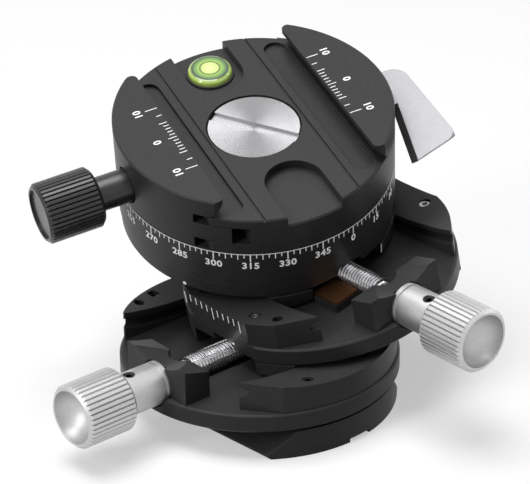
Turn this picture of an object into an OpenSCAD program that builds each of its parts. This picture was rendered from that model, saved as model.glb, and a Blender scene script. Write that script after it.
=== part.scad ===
// Geared tripod head: two crossed worm-driven tilt stages under a panning dovetail clamp.
// Millimetres, +Z up, origin at the centre of the underside of the base plate.
// The head is drawn with both stages tilted to one end of their travel and the clamp panned.

/* [Overall] */
// Diameter of the stacked round bodies
body_d = 58; // [56:0.5:62]
// Tilt of each stage away from level
rest_tilt = 12; // [0:0.75:12]
// Pan of the clamp away from square
rest_pan = 16.5; // [0:0.5:30]

/* [Base plate] */
// Diameter of the base plate
base_d = 57; // [54:0.5:58]
// Thickness of the base plate
base_h = 5.9; // [5:0.05:7]
// Width of the dovetail at its foot
dovetail_w = 38.2; // [36:0.1:40]
// Upright land at the foot of the dovetail
dovetail_land = 0.9; // [0.7:0.1:1.5]
// Turn of the base plate under the lower stage
base_turn = 4.5; // [0:0.5:90]
// Width of the alignment groove in the underside
foot_groove_w = 5.6; // [3:0.1:8]
// Depth of the alignment groove in the underside
foot_groove_h = 0.8; // [0.4:0.1:1.2]
// Diameter of the tapped tripod hole
tripod_hole_d = 8; // [6:0.1:9]
// Depth of the shadow groove above the base plate
neck_h = 0.55; // [0.4:0.05:1]
// Diameter of the neck in the shadow groove
neck_d = 50; // [44:0.5:52]

/* [Tilt stages] */
// Thickness of a stage disc
disc_h = 3.9; // [3.6:0.1:4.2]
// Height from one stage disc to the next
stage_pitch = 11.25; // [11:0.05:12]
// Height of the tilt axis above the underside of its stage disc
pivot_h = 95.2; // [94:0.2:100]
// Distance of the slant-ended rail's inner face from the middle of its stage
rail_y = 17.3; // [17:0.1:18]
// Distance of the lower round-ended rail's inner face from the middle of its stage
lower_wide_y = 20.8; // [20:0.1:21]
// Distance of the upper round-ended rail's inner face from the middle of its stage
upper_wide_y = 18.6; // [18:0.1:20]
// Rise of a rail's top toward its outer edge
rail_rise = 1.4; // [0.5:0.1:2]
// Distance of a rail's slanted end from the middle of its stage
slant_x = 20; // [19:0.1:21]
// How far a rail stands in from the rim of its disc
rail_inset = 0.5; // [0.3:0.1:1]
// Distance of the upper stage's flats from its middle
scale_flat_y = 27.2; // [26.5:0.1:28]
// Depth of the slide groove in a rail
groove_depth = 1.6; // [1.2:0.1:2]
// Width of the slide groove at the rail's face
groove_w = 2.3; // [2:0.1:2.6]
// Width of the slide groove at its floor
groove_floor_w = 1.1; // [0.8:0.1:1.4]

/* [Worm drive] */
// Height of the worm's axis above the underside of its stage disc
worm_z = 5.6; // [5.5:0.05:5.8]
// Radius over the worm's threads
worm_r = 2.7; // [2.6:0.05:2.8]
// Depth of the worm's threads
thread_depth = 0.55; // [0.5:0.05:0.6]
// Threads that start at the worm's end
worm_starts = 2; // [1:1:2]
// Turns of each thread
worm_turns = 18; // [14:1:18]
// Angle between two teeth of the arc rack
tooth_angle = 0.5; // [0.5:0.01:0.53]
// Teeth of the rack on each side of its middle
rack_teeth = 30; // [28:1:30]
// Width of the arc rack
rack_w = 4.6; // [4:0.1:5]
// Place of the worm's outer end along its axis
worm_x = -20.6; // [-20.6:0.1:-19]
// Radius of the worm's front journal
journal_r = 2; // [1.8:0.05:2.1]
// Radius of the worm's tail journal
tail_r = 1.3; // [1:0.05:1.5]

/* [Worm blocks] */
// Distance of a worm block's outer face from the middle of its stage
block_x = 27.2; // [26.8:0.1:27.4]
// Thickness of a worm block along the worm
block_t = 6.2; // [5.5:0.1:6.2]
// Width of a worm block across the worm
block_w = 18.4; // [17:0.1:18.6]
// Height of a worm block above its stage disc
block_h = 7.4; // [6.8:0.1:7.5]
// Outer radius of the bronze bush in a worm block
bush_r = 3.2; // [3:0.05:3.4]

/* [Knobs] */
// Diameter of a tilt knob
knob_d = 13.4; // [12:0.1:15]
// Length of a tilt knob's grip
knob_len = 11.8; // [10:0.1:14]
// Flutes round a knob
knob_flutes = 40; // [30:1:48]
// Diameter of a tilt knob's neck
knob_neck_d = 8.8; // [8:0.1:9.4]
// Length of a tilt knob's neck
knob_neck_len = 10.2; // [9:0.1:12]
// Diameter of the clamp knob
clamp_knob_d = 12.8; // [11:0.1:14]
// Length of the clamp knob's grip
clamp_knob_len = 12.2; // [10:0.1:14]
// Diameter of the clamp knob's neck
clamp_neck_d = 7.2; // [6.6:0.1:8]
// Length of the clamp knob's neck
clamp_neck_len = 8.2; // [7:0.1:10]

/* [Pan drum and clamp] */
// Thickness of the pan seat
seat_h = 3.25; // [3.1:0.05:4]
// Height of the clamp's floor above the base
floor_z = 50.4; // [50:0.1:51]
// Height of the jaws above the base
jaw_top_z = 54.55; // [54:0.05:55.5]
// Opening between the jaws' lips
jaw_opening = 33.6; // [33:0.1:36]
// Width of the dovetail undercut below each lip
jaw_undercut = 3.1; // [2.6:0.1:3.3]
// How far the jaw can close from here
jaw_close = 2; // [1:0.1:2]
// Radius of the pan spindle
spindle_r = 10; // [9:0.1:10.6]
// Radius of the slotted screw in the clamp's floor
centre_screw_r = 9.5; // [9:0.1:9.8]
// Height of the clamp screw's axis above the base
clamp_screw_z = 46.2; // [46:0.05:46.4]
// Radius of the clamp screw
clamp_screw_r = 2.5; // [2.2:0.05:2.6]
// Radius of the bubble level's ring
level_r = 5.1; // [4.7:0.1:5.2]
// Place of the bubble level along the clamp
level_y = 21.5; // [21:0.1:22]
// Half width of the round-ended pockets in the clamp's floor
pocket_r = 6.1; // [5.6:0.1:6.5]
// Distance of a pocket's round end from the middle of the clamp
pocket_y = 19; // [18:0.1:20]
// Depth of the pockets in the clamp's floor
pocket_h = 2; // [1.5:0.1:2.2]
// Distance of the jaws' cut tips from the middle of the clamp
jaw_tip_y = 21.9; // [21:0.1:23]

/* [Pan lock lever] */
// Length of the lever's paddle
lever_len = 24.2; // [22:0.1:25]
// Width of the lever's paddle
lever_w = 8.9; // [7:0.1:10]
// Thickness of the lever's paddle
lever_t = 2.6; // [2:0.1:3.2]
// Slope of the paddle away from the clamp
lever_slope = 20.5; // [10:0.5:30]
// Place of the lever's axis along the clamp
lever_y = 1.8; // [0:0.1:3]
// Height of the lever's axis above the base
lever_z = 45; // [44.5:0.1:45.5]

/* [Fits] */
// Radial clearance of a shaft in its bush
shaft_clear = 0.04; // [0.02:0.01:0.08]
// Clearance of a fixed piece in its seat
seat_clear = 0.02; // [0.01:0.01:0.04]
// Side clearance between a saddle and its rails
slide_clear = 0.15; // [0.1:0.01:0.3]
// Clearance of a moving curved face
run_clear = 0.35; // [0.3:0.01:0.4]
// Clearance between the rack and the worm's roots and crests
mesh_clear = 0.18; // [0.15:0.01:0.25]

/* [Hidden] */
$fn = 96;

// Smoothness of the large arcs about a tilt axis
arc_fn = 360;
// A length that reaches past the whole part
far = 200;
// A small overlap that lets a cut break through a face
eps = 0.1;

// Colours
black = [0.07, 0.07, 0.075];
dark = [0.11, 0.11, 0.12];
silver = [0.68, 0.68, 0.70];
steel = [0.78, 0.78, 0.80];
bronze = [0.55, 0.30, 0.18];
vial_green = [0.62, 0.85, 0.25];

// Heights of the stack, level
body_r = body_d / 2;
rim_chamfer = 0.35;
seam_chamfer = 0.12;
foot_chamfer = 0.5;
foot_groove_y = 9;
lower_z = base_h + neck_h;
upper_z = lower_z + stage_pitch;
seat_z = upper_z + stage_pitch;
lower_pivot_z = lower_z + pivot_h;
upper_pivot_z = upper_z + pivot_h;

// Radii about a tilt axis: the disc above, the rails, the blocks and the saddle
rail_r = body_r - rail_inset;
above_r = pivot_h - stage_pitch;
rail_top_in = norm([above_r, sqrt(pow(body_r, 2) - pow(rail_y, 2))]) + run_clear + eps;
rail_slope = rail_rise / (rail_r - rail_y);
block_top_r = norm([pivot_h - disc_h - block_h, block_x]);
block_half = block_w / 2 + run_clear;
saddle_r = pivot_h - disc_h - run_clear - eps;
groove_mid_r = (rail_top_in + pivot_h - disc_h) / 2 + eps;
skirt_inner = block_w / 2 + run_clear;
tongue_angle = 28;

// Worm and rack
root_r = worm_r - thread_depth;
rack_tip_r = pivot_h - worm_z - root_r - mesh_clear;
rack_root_r = pivot_h - worm_z - worm_r - mesh_clear;
rack_pitch_r = (rack_tip_r + rack_root_r) / 2;
rack_seat_r = rack_root_r - 1.3;
worm_pitch = rack_pitch_r * tooth_angle * PI / 180;
worm_lead = worm_pitch * worm_starts;
worm_ratio = 360 / (tooth_angle * worm_starts);
lead_angle = atan(worm_lead / (2 * PI * (worm_r - thread_depth / 2)));
tooth_root_half = worm_pitch * 0.29;
tooth_tip_half = worm_pitch * 0.115;
crest_half = worm_pitch * 0.11;
thread_root_half = worm_pitch * 0.29;
worm_sides = 16;
collar_len = 0.5;
worm_phase = 360 * (worm_x + collar_len) / worm_lead + 90 - worm_ratio * rest_tilt;
worm_len = worm_lead * worm_turns + 2 * collar_len;
worm_end_x = worm_x + worm_len;
rack_half_angle = (rack_teeth + 0.5) * tooth_angle;
worm_room = worm_r + run_clear;
trough_z = worm_z - worm_r - run_clear;
tail_block_x = worm_end_x + run_clear;
tail_block_t = 3;
tail_block_h = worm_z + tail_r + 0.7;

// Worm block
block_inner_x = block_x - block_t;
bush_len = 3;
bush_recess = 0.8;
notch_r = 3.4;
notch_x = block_inner_x - 1.3;
valley_r = 14;
valley_z = worm_z + bush_r + 0.6;

// Screws of the rails
screw_r = 0.9;
screw_head_r = 1.15;
screw_head_h = 1;
screw_socket_r = 0.65;
screw_socket_h = 0.7;
screw_seat_z = disc_h + 3.7;
screw_foot_z = disc_h - 1.6;
rail_screw_x = 7.6;
spare_hole_x = 12.8;
spare_hole_in = 1.7;
spare_hole_z = disc_h + 3;

// Bronze pad and the boss below it
pad_boss_h = 1.8;
pad_h = 0.6;

// Knobs
knob_r = knob_d / 2;
knob_neck_r = knob_neck_d / 2;
knob_in_x = block_x - 0.5;
shaft_in_knob = 8;
flute_depth = 0.45;
bowl_rim_r = knob_r - 1.1;
bowl_depth = 5;
bowl_r = (pow(bowl_rim_r, 2) + pow(bowl_depth, 2)) / (2 * bowl_depth);
set_screw_r = 1.25;
set_screw_x = knob_in_x + knob_neck_len * 0.73;

// Drum and clamp
drum_gap = 0.25;
seat_inset = 0.3;
drum_z = seat_z + seat_h + drum_gap;
lip_x = jaw_opening / 2;
jaw_foot_x = lip_x + jaw_undercut;
skirt_x = 22.3;
ledge_x = 19.9;
jaw_seam_z = 41.7;
slot_low_z = clamp_screw_z - 2.1;
slot_high_z = clamp_screw_z + 2.1;
slot_x = 13;
tongue_x = 16.4;
jaw_clear = 0.12;
spindle_top_z = clamp_screw_z - clamp_screw_r - 0.3;
centre_top_z = floor_z - 0.25;
centre_head_h = 1.2;
centre_shank_r = 3;
centre_slot_w = 2.6;
centre_slot_h = 0.8;
centre_slot_turn = -65.2;
clamp_knob_r = clamp_knob_d / 2;
clamp_neck_r = clamp_neck_d / 2;
clamp_screw_tip = -6.6;
clamp_screw_room = clamp_screw_tip + jaw_close + 0.4;
pocket_z = floor_z - pocket_h;
level_h = 2.8;
level_wall = 0.4;
level_foot = 0.8;
level_z = pocket_z + 0.4 - level_h;
vial_h = pocket_z + 1.7 - level_z - level_foot;
vial_round = 1;
line_x = 10.45;
line_w = 0.5;
line_h = 0.4;
slot_mid_x = 14.7;
slot_r = 2.4;
slot_half_y = 20.2;
slot_h = 0.8;
tip_round = 1.2;
shoe_w = 5;
shoe_h = 8.2;
shoe_drop = 6;
shoe_in = 1;
shoe_out = 3.6;
shoe_room = 0.2;
lever_shaft_r = 2.2;

// Frames: lower stage, what the lower tilt carries, upper stage, what the upper tilt carries, clamp
module lower_frame() {
    translate([0, 0, lower_z]) children();
}

module cross_frame() {
    translate([0, 0, lower_pivot_z]) rotate([0, -rest_tilt, 0]) translate([0, 0, -lower_pivot_z]) children();
}

module head_frame() {
    cross_frame()
        translate([0, 0, upper_pivot_z]) rotate([rest_tilt, 0, 0]) translate([0, 0, -upper_pivot_z])
            children();
}

module upper_frame() {
    cross_frame() translate([0, 0, upper_z]) rotate([0, 0, 90]) children();
}

module lower_saddle_frame() {
    cross_frame() translate([0, 0, lower_z]) children();
}

module upper_saddle_frame() {
    head_frame() translate([0, 0, upper_z]) rotate([0, 0, 90]) children();
}

module clamp_frame() {
    head_frame() rotate([0, 0, -rest_pan]) children();
}

// A round bar along X from x0 to x1
module bar_x(r, x0, x1) {
    translate([x0, 0, 0]) rotate([0, 90, 0]) cylinder(r = r, h = x1 - x0);
}

// A round plate with its lower and upper rims chamfered
module rim_disc(r, h, low, high) {
    rotate_extrude()
        polygon([[0, 0], [r - low, 0], [r, low], [r, h - high], [r - high, h], [0, h]]);
}

// What lies within a radius of a stage's tilt axis
module about_axis(r) {
    translate([0, 0, pivot_h]) rotate([90, 0, 0]) cylinder(r = r, h = far, center = true, $fn = arc_fn);
}

// A ring sector about the tilt axis, centred straight below it; points are radius and distance along the axis
module arc_bar(points, angle) {
    translate([0, 0, pivot_h]) rotate([90, 0, 0]) rotate([0, 0, 270 - angle / 2])
        rotate_extrude(angle = angle, $fn = arc_fn) polygon(points);
}

// Both mirror images about the XZ plane
module both_sides() {
    children();
    mirror([0, 1, 0]) children();
}

// Stage pieces, each in the frame of its own stage

module socket_screw(head_z, foot_z) {
    difference() {
        union() {
            translate([0, 0, head_z]) cylinder(r = screw_head_r, h = screw_head_h);
            translate([0, 0, foot_z]) cylinder(r = screw_r, h = head_z - foot_z + eps);
        }
        translate([0, 0, head_z + screw_head_h - screw_socket_h])
            cylinder(r = screw_socket_r, h = screw_head_h, $fn = 6);
    }
}

module screw_hole(head_z, foot_z) {
    translate([0, 0, head_z]) cylinder(r = screw_head_r + eps, h = far);
    translate([0, 0, foot_z]) cylinder(r = screw_r + seat_clear, h = far);
}

// Distance of a rail's screws from the middle of its stage
function rail_screw_y(inner_y) = (inner_y + groove_depth + rail_r) / 2;

// Screws of a rail on the +Y side
module at_rail_screws(inner_y) {
    for (x = [-rail_screw_x, rail_screw_x])
        translate([x, rail_screw_y(inner_y), 0]) children();
}

// Screws of both rails of a stage
module at_stage_screws(plus_y, minus_y) {
    at_rail_screws(plus_y) children();
    mirror([0, 1, 0]) at_rail_screws(minus_y) children();
}

// Bores for the worm's bush and the knob's neck
module worm_bores() {
    translate([0, 0, worm_z]) {
        bar_x(bush_r + seat_clear, -block_x, -block_inner_x + eps);
        bar_x(knob_neck_r + run_clear, -far, -block_x + bush_recess);
    }
}

module stage_disc_shape(plus_y, minus_y) {
    difference() {
        rim_disc(body_r, disc_h, rim_chamfer, rim_chamfer);
        translate([-block_inner_x, -worm_room, trough_z])
            cube([block_inner_x + tail_block_x + tail_block_t, 2 * worm_room, disc_h]);
        worm_bores();
        at_stage_screws(plus_y, minus_y)
            translate([0, 0, screw_foot_z]) cylinder(r = screw_r + seat_clear, h = far);
    }
}

// Room in the underside of the body above a stage for its rack, worm and worm block
module rack_room(top) {
    half_w = worm_room + run_clear;
    difference() {
        translate([-far, -half_w, stage_pitch - eps]) cube([2 * far, 2 * half_w, top]);
        about_axis(rack_root_r - run_clear);
    }
    difference() {
        translate([-far, -block_half, stage_pitch - eps]) cube([far, 2 * block_half, top]);
        about_axis(block_top_r - run_clear);
    }
    difference() {
        translate([0, 0, pivot_h])
            rotate([90, 0, 0])
                rotate([0, 0, 270])
                    wedge(rack_half_angle + 0.1, rack_w + 2 * seat_clear);
        about_axis(rack_seat_r - seat_clear);
        translate([-far, -far, stage_pitch + top]) cube(2 * far);
    }
}

// A wedge that opens along +X from the axis, thick along the axis
module wedge(half_angle, w) {
    reach = 1.2 * pivot_h;
    linear_extrude(height = w, center = true)
        polygon([
            [0, 0],
            reach * [cos(half_angle), -sin(half_angle)],
            reach * [cos(half_angle), sin(half_angle)]
        ]);
}

// What the tops of the rails leave free: a cone about the tilt axis, wider toward the middle
module rail_cone() {
    y0 = skirt_inner;
    y1 = 2 * body_r;
    translate([0, 0, pivot_h])
        rotate([90, 0, 0])
            rotate_extrude($fn = arc_fn)
                polygon([
                    [0, -y0],
                    [rail_top_in - rail_slope * (y0 - rail_y), -y0],
                    [rail_top_in - rail_slope * (y1 - rail_y), -y1],
                    [0, -y1]
                ]);
}

// A rail on the +Y side; its outer end may be slanted
module rail_shape(inner_y, slanted) {
    end_run = 0.75;
    reach = body_r - inner_y;
    end_x = sqrt(pow(rail_r, 2) - pow(inner_y, 2)) - 0.5;
    outer_x = slanted ? slant_x : end_x;
    difference() {
        intersection() {
            translate([0, 0, disc_h])
                linear_extrude(height = stage_pitch)
                    polygon([
                        [-outer_x, inner_y],
                        [end_x, inner_y],
                        [end_x, body_r],
                        [slanted ? end_run * reach - outer_x : -outer_x, body_r]
                    ]);
            cylinder(r = rail_r, h = far);
        }
        rail_cone();
        mirror([0, 1, 0])
            arc_bar([
                [groove_mid_r - groove_w / 2, inner_y - eps],
                [groove_mid_r + groove_w / 2, inner_y - eps],
                [groove_mid_r + groove_floor_w / 2, inner_y + groove_depth],
                [groove_mid_r - groove_floor_w / 2, inner_y + groove_depth]
            ], 2 * tongue_angle);
        at_rail_screws(inner_y) screw_hole(screw_seat_z, 0);
    }
}

// A plain hole beside the outer screw of a rail
module spare_hole(inner_y) {
    translate([-spare_hole_x, rail_screw_y(inner_y) - spare_hole_in, spare_hole_z])
        cylinder(r = screw_head_r, h = far);
}

module worm_block_shape() {
    difference() {
        translate([-block_x, -block_w / 2, disc_h]) cube([block_t, block_w, stage_pitch]);
        about_axis(block_top_r);
        worm_bores();
        translate([-notch_x, 0, worm_z]) cylinder(r = notch_r, h = far);
        translate([0, 0, valley_z + valley_r]) bar_x(valley_r, -far, 0);
    }
}

module worm_bush_shape() {
    translate([0, 0, worm_z])
        difference() {
            bar_x(bush_r, -block_x + bush_recess, -block_x + bush_recess + bush_len);
            bar_x(journal_r + shaft_clear, -block_x, 0);
        }
}

module tail_bush_shape() {
    difference() {
        translate([tail_block_x, -worm_room, trough_z])
            cube([tail_block_t, 2 * worm_room, tail_block_h - trough_z]);
        translate([0, 0, worm_z]) bar_x(tail_r + shaft_clear, 0, far);
    }
}

module stage_screws_shape(plus_y, minus_y) {
    at_stage_screws(plus_y, minus_y) socket_screw(screw_seat_z, screw_foot_z);
}

module saddle_shape(plus_y, minus_y) {
    saddle_skirt(plus_y);
    mirror([0, 1, 0]) saddle_skirt(minus_y);
}

// One skirt on the +Y side, with the tongue that runs in the rail's groove
module saddle_skirt(inner_y) {
    outer = inner_y - slide_clear;
    tongue_tip = inner_y + groove_depth - run_clear;
    intersection() {
        cylinder(r = body_r, h = stage_pitch);
        union() {
            intersection() {
                translate([-body_r, skirt_inner, 0]) cube([body_d, outer - skirt_inner, stage_pitch]);
                about_axis(saddle_r);
            }
            mirror([0, 1, 0])
                arc_bar([
                    [groove_mid_r - groove_w / 2 + run_clear, outer - eps],
                    [groove_mid_r + groove_w / 2 - run_clear, outer - eps],
                    [groove_mid_r + groove_floor_w / 2 - run_clear, tongue_tip],
                    [groove_mid_r - groove_floor_w / 2 + run_clear, tongue_tip]
                ], tongue_angle);
        }
    }
}

// The arc rack: a bar with flat facets, one to a tooth, and teeth set to the worm's lead
module rack_shape() {
    step = tooth_angle;
    spots = [for (i = [-rack_teeth - 0.5 : 1 : rack_teeth + 0.5]) i * step];
    low = [for (a = spots) rack_root_r * [sin(a), -cos(a)]];
    flat_end = acos(above_r / rack_seat_r);
    tops = concat(
        [for (i = [len(spots) - 1 : -1 : 0]) if (spots[i] > flat_end) spots[i]],
        [flat_end, -flat_end],
        [for (i = [len(spots) - 1 : -1 : 0]) if (spots[i] < -flat_end) spots[i]]
    );
    high = [for (a = tops) rack_seat_r * [sin(a), -cos(a)]];
    translate([0, 0, pivot_h]) {
        rotate([90, 0, 0])
            linear_extrude(height = rack_w, center = true)
                polygon(concat(low, high));
        for (i = [-rack_teeth : rack_teeth])
            rotate([0, -i * step, 0])
                translate([0, 0, -rack_root_r])
                    rotate([0, 0, lead_angle])
                        rotate([90, 0, 0])
                            linear_extrude(height = rack_w - 0.6, center = true)
                                polygon([
                                    [-tooth_root_half, eps / 2],
                                    [-tooth_root_half, 0],
                                    [-tooth_tip_half, rack_root_r - rack_tip_r],
                                    [tooth_tip_half, rack_root_r - rack_tip_r],
                                    [tooth_root_half, 0],
                                    [tooth_root_half, eps / 2]
                                ]);
    }
}

// A worm along +X from x = 0: threads and core as one closed skin, with plain collars at both ends
function thread_profile() = [
    for (j = [0 : worm_starts - 1])
        each [
            [j * worm_pitch + worm_pitch / 2 - thread_root_half, root_r],
            [j * worm_pitch + worm_pitch / 2 - crest_half, worm_r],
            [j * worm_pitch + worm_pitch / 2 + crest_half, worm_r],
            [j * worm_pitch + worm_pitch / 2 + thread_root_half, root_r]
        ]
];

// Triangles that fill a ring of points, all from the first one
function fan(ring) = [for (i = [1 : len(ring) - 2]) [ring[0], ring[i], ring[i + 1]]];

module worm_skin() {
    prof = thread_profile();
    m = len(prof);
    n = worm_sides;
    turns = worm_turns - 1;
    last = n * turns;
    points = concat(
        [
            for (s = [0 : last])
                for (p = prof)
                    let (a = 360 * s / n)
                        [collar_len + p[0] + worm_lead * s / n, p[1] * cos(a), p[1] * sin(a)]
        ],
        [for (i = [0 : n - 1]) [0, root_r * cos(360 * i / n), root_r * sin(360 * i / n)]],
        [for (i = [0 : n - 1]) [worm_len, root_r * cos(360 * i / n), root_r * sin(360 * i / n)]]
    );
    head = (last + 1) * m;
    tail = head + n;
    flanks = [
        for (s = [0 : last - 1])
            for (k = [0 : m - 2])
                let (a = s * m + k, b = a + 1, c = a + m, d = c + 1)
                    each [[a, c, b], [b, c, d]]
    ];
    roots = [
        for (s = [0 : last - n - 1])
            let (a = s * m + m - 1, b = (s + n) * m, c = a + m, d = b + m)
                each [[a, c, b], [b, c, d]]
    ];
    head_strip = [
        for (i = [0 : n - 2])
            each [[head + i, head + i + 1, i * m], [head + i + 1, (i + 1) * m, i * m]]
    ];
    seam_up = [for (k = [0 : m - 1]) if (k % 4 == 0 || k % 4 == 3) k];
    head_last = fan(concat([(n - 1) * m, head + n - 1, head], seam_up, [n * m]));
    tail_base = last - n;
    tail_strip = [
        for (i = [1 : n - 1])
            let (a = (tail_base + i) * m + m - 1, next = tail + (i + 1) % n)
                each [[a, a + m, tail + i], [a + m, next, tail + i]]
    ];
    seam_down = [for (k = [m - 1 : -1 : 0]) if (k % 4 == 0 || k % 4 == 3) last * m + k];
    tail_edge = tail_base * m + m - 1;
    tail_first = fan(concat([tail_edge + m, tail + 1, tail], seam_down, [tail_edge]));
    start_faces = [for (j = [0 : worm_starts - 1]) each fan([for (k = [0 : 3]) j * 4 + k])];
    end_faces = [for (j = [0 : worm_starts - 1]) each fan([for (k = [3 : -1 : 0]) last * m + j * 4 + k])];
    head_cap = fan([for (i = [n - 1 : -1 : 0]) head + i]);
    tail_cap = fan([for (i = [0 : n - 1]) tail + i]);
    ends = concat(start_faces, end_faces, head_cap, tail_cap);
    skin = concat(flanks, roots, head_strip, head_last, tail_strip, tail_first, ends);
    polyhedron(points, [for (f = skin) [f[2], f[1], f[0]]]);
}

module worm_shape() {
    translate([worm_x, 0, worm_z]) rotate([worm_phase, 0, 0]) worm_skin();
}

module worm_shaft_shape() {
    translate([0, 0, worm_z]) {
        bar_x(journal_r, -knob_in_x - shaft_in_knob, worm_x);
        bar_x(tail_r, worm_end_x, tail_block_x + tail_block_t);
    }
}

// Outline of a straight-knurled grip
module knurl_outline(r, flutes) {
    polygon([
        for (i = [0 : flutes - 1])
            let (a = 360 * i / flutes, land = 0.6 * 360 / flutes, valley = 0.8 * 360 / flutes)
                each [
                    r * [cos(a), sin(a)],
                    r * [cos(a + land), sin(a + land)],
                    (r - flute_depth) * [cos(a + valley), sin(a + valley)]
                ]
    ]);
}

// A knob along +Z: grip from 0 to its length, with chamfered rims
module grip(r, length, flutes) {
    chamfer = 0.7;
    over = 0.2;
    intersection() {
        linear_extrude(height = length) knurl_outline(r, flutes);
        rotate_extrude()
            polygon([
                [0, 0], [r - chamfer, 0], [r + over, chamfer + over],
                [r + over, length - chamfer - over], [r - chamfer, length], [0, length]
            ]);
    }
}

module tilt_knob_shape() {
    translate([-knob_in_x, 0, worm_z])
        rotate([0, -90, 0])
            difference() {
                union() {
                    cylinder(r = knob_neck_r, h = knob_neck_len + eps);
                    translate([0, 0, knob_neck_len]) grip(knob_r, knob_len, knob_flutes);
                }
                translate([0, 0, -eps]) cylinder(r = journal_r + seat_clear, h = shaft_in_knob + 2 * eps);
                translate([0, 0, knob_neck_len + knob_len + bowl_r - bowl_depth])
                    rotate([90, 0, 0]) sphere(r = bowl_r);
                translate([0, 0, 0.9])
                    difference() {
                        cylinder(r = far, h = 0.6);
                        translate([0, 0, -eps]) cylinder(r = knob_neck_r - 0.4, h = 1);
                    }
                translate([0, 0, set_screw_x - knob_in_x])
                    rotate([0, 90, 0]) cylinder(r = set_screw_r, h = far);
            }
}

module set_screw_shape() {
    translate([-set_screw_x, 0, worm_z])
        difference() {
            translate([0, 0, journal_r + seat_clear])
                cylinder(r = set_screw_r - seat_clear, h = knob_neck_r - journal_r - 0.4);
            translate([0, 0, knob_neck_r - 1.2]) cylinder(r = 0.7, h = far, $fn = 6);
        }
}

// Lower stage

module base_plate() {
    foot = dovetail_w / 2;
    edge = foot - foot_chamfer;
    rise = base_h - dovetail_land;
    color(black)
        rotate([0, 0, base_turn])
            difference() {
                union() {
                    intersection() {
                        cylinder(d = base_d, h = base_h);
                        rotate([90, 0, 0])
                            linear_extrude(height = far, center = true)
                                polygon([
                                    [-edge, 0], [edge, 0], [foot, foot_chamfer], [foot, dovetail_land],
                                    [foot - rise, base_h], [rise - foot, base_h],
                                    [-foot, dovetail_land], [-foot, foot_chamfer]
                                ]);
                    }
                    translate([0, 0, base_h - eps]) cylinder(d = neck_d, h = neck_h + eps);
                }
                translate([0, 0, -eps]) cylinder(d = tripod_hole_d, h = far);
                both_sides()
                    translate([-foot_groove_w / 2, foot_groove_y, -eps])
                        cube([foot_groove_w, far, foot_groove_h + eps]);
            }
}

module lower_stage_disc() {
    color(black) lower_frame() stage_disc_shape(lower_wide_y, rail_y);
}

module lower_front_rail() {
    color(dark) lower_frame() mirror([0, 1, 0]) rail_shape(rail_y, true);
}

module lower_back_rail() {
    color(dark)
        lower_frame()
            difference() {
                rail_shape(lower_wide_y, false);
                spare_hole(lower_wide_y);
            }
}

module lower_worm_block() {
    color(dark) lower_frame() worm_block_shape();
}

module lower_worm_bush() {
    color(bronze) lower_frame() worm_bush_shape();
}

module lower_tail_bush() {
    color(bronze) lower_frame() tail_bush_shape();
}

module lower_screws() {
    color(steel) lower_frame() stage_screws_shape(lower_wide_y, rail_y);
}

module lower_knob() {
    color(silver) lower_frame() tilt_knob_shape();
}

module lower_worm() {
    color(steel) lower_frame() worm_shape();
}

module lower_worm_shaft() {
    color(steel) lower_frame() worm_shaft_shape();
}

module lower_set_screw() {
    color(dark) lower_frame() set_screw_shape();
}

// Cross stage, carried by the lower tilt

module lower_saddle() {
    color(black) lower_saddle_frame() saddle_shape(lower_wide_y, rail_y);
}

module lower_rack() {
    color(bronze) lower_saddle_frame() rack_shape();
}

module upper_stage_disc() {
    color(black)
        difference() {
            upper_frame()
                union() {
                    stage_disc_shape(rail_y, upper_wide_y);
                    pad_plate(disc_h - eps, pad_boss_h + eps);
                }
            upper_frame() scale_flats();
            lower_saddle_frame() rack_room(disc_h);
        }
}

// What the flats take off the two sides of the upper stage
module scale_flats() {
    both_sides() translate([-far, scale_flat_y, -eps]) cube([2 * far, far, far]);
}

// A plate beside the upper worm, between two heights
module pad_plate(z, h) {
    pad_len = body_r * 0.235;
    pad_x = -body_r * 0.54;
    pad_w = skirt_inner - worm_room - run_clear - eps;
    translate([pad_x, worm_room + eps, z]) cube([pad_len, pad_w, h]);
}

module upper_left_rail() {
    color(dark)
        upper_frame()
            difference() {
                rail_shape(rail_y, true);
                scale_flats();
                spare_hole(rail_y);
            }
}

module upper_right_rail() {
    color(dark)
        upper_frame()
            difference() {
                mirror([0, 1, 0]) rail_shape(upper_wide_y, false);
                scale_flats();
            }
}

module upper_worm_block() {
    color(dark) upper_frame() worm_block_shape();
}

module upper_worm_bush() {
    color(bronze) upper_frame() worm_bush_shape();
}

module upper_tail_bush() {
    color(bronze) upper_frame() tail_bush_shape();
}

module upper_screws() {
    color(steel) upper_frame() stage_screws_shape(rail_y, upper_wide_y);
}

module bronze_pad() {
    color(bronze) upper_frame() pad_plate(disc_h + pad_boss_h, pad_h);
}

module upper_knob() {
    color(silver) upper_frame() tilt_knob_shape();
}

module upper_worm() {
    color(steel) upper_frame() worm_shape();
}

module upper_worm_shaft() {
    color(steel) upper_frame() worm_shaft_shape();
}

module upper_set_screw() {
    color(dark) upper_frame() set_screw_shape();
}

// Pan seat, carried by the upper tilt

module upper_saddle() {
    color(black) upper_saddle_frame() saddle_shape(rail_y, upper_wide_y);
}

module upper_rack() {
    color(bronze) upper_saddle_frame() rack_shape();
}

module pan_seat() {
    color(black)
        difference() {
            head_frame()
                translate([0, 0, seat_z])
                    rim_disc(body_r - seat_inset, seat_h, rim_chamfer, seam_chamfer);
            upper_saddle_frame() rack_room(seat_h);
        }
}

module pan_spindle() {
    color(steel)
        head_frame()
            difference() {
                translate([0, 0, seat_z + seat_h])
                    cylinder(r = spindle_r, h = spindle_top_z - seat_z - seat_h);
                translate([0, 0, spindle_top_z - 6]) cylinder(r = centre_shank_r + seat_clear, h = far);
            }
}

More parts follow.
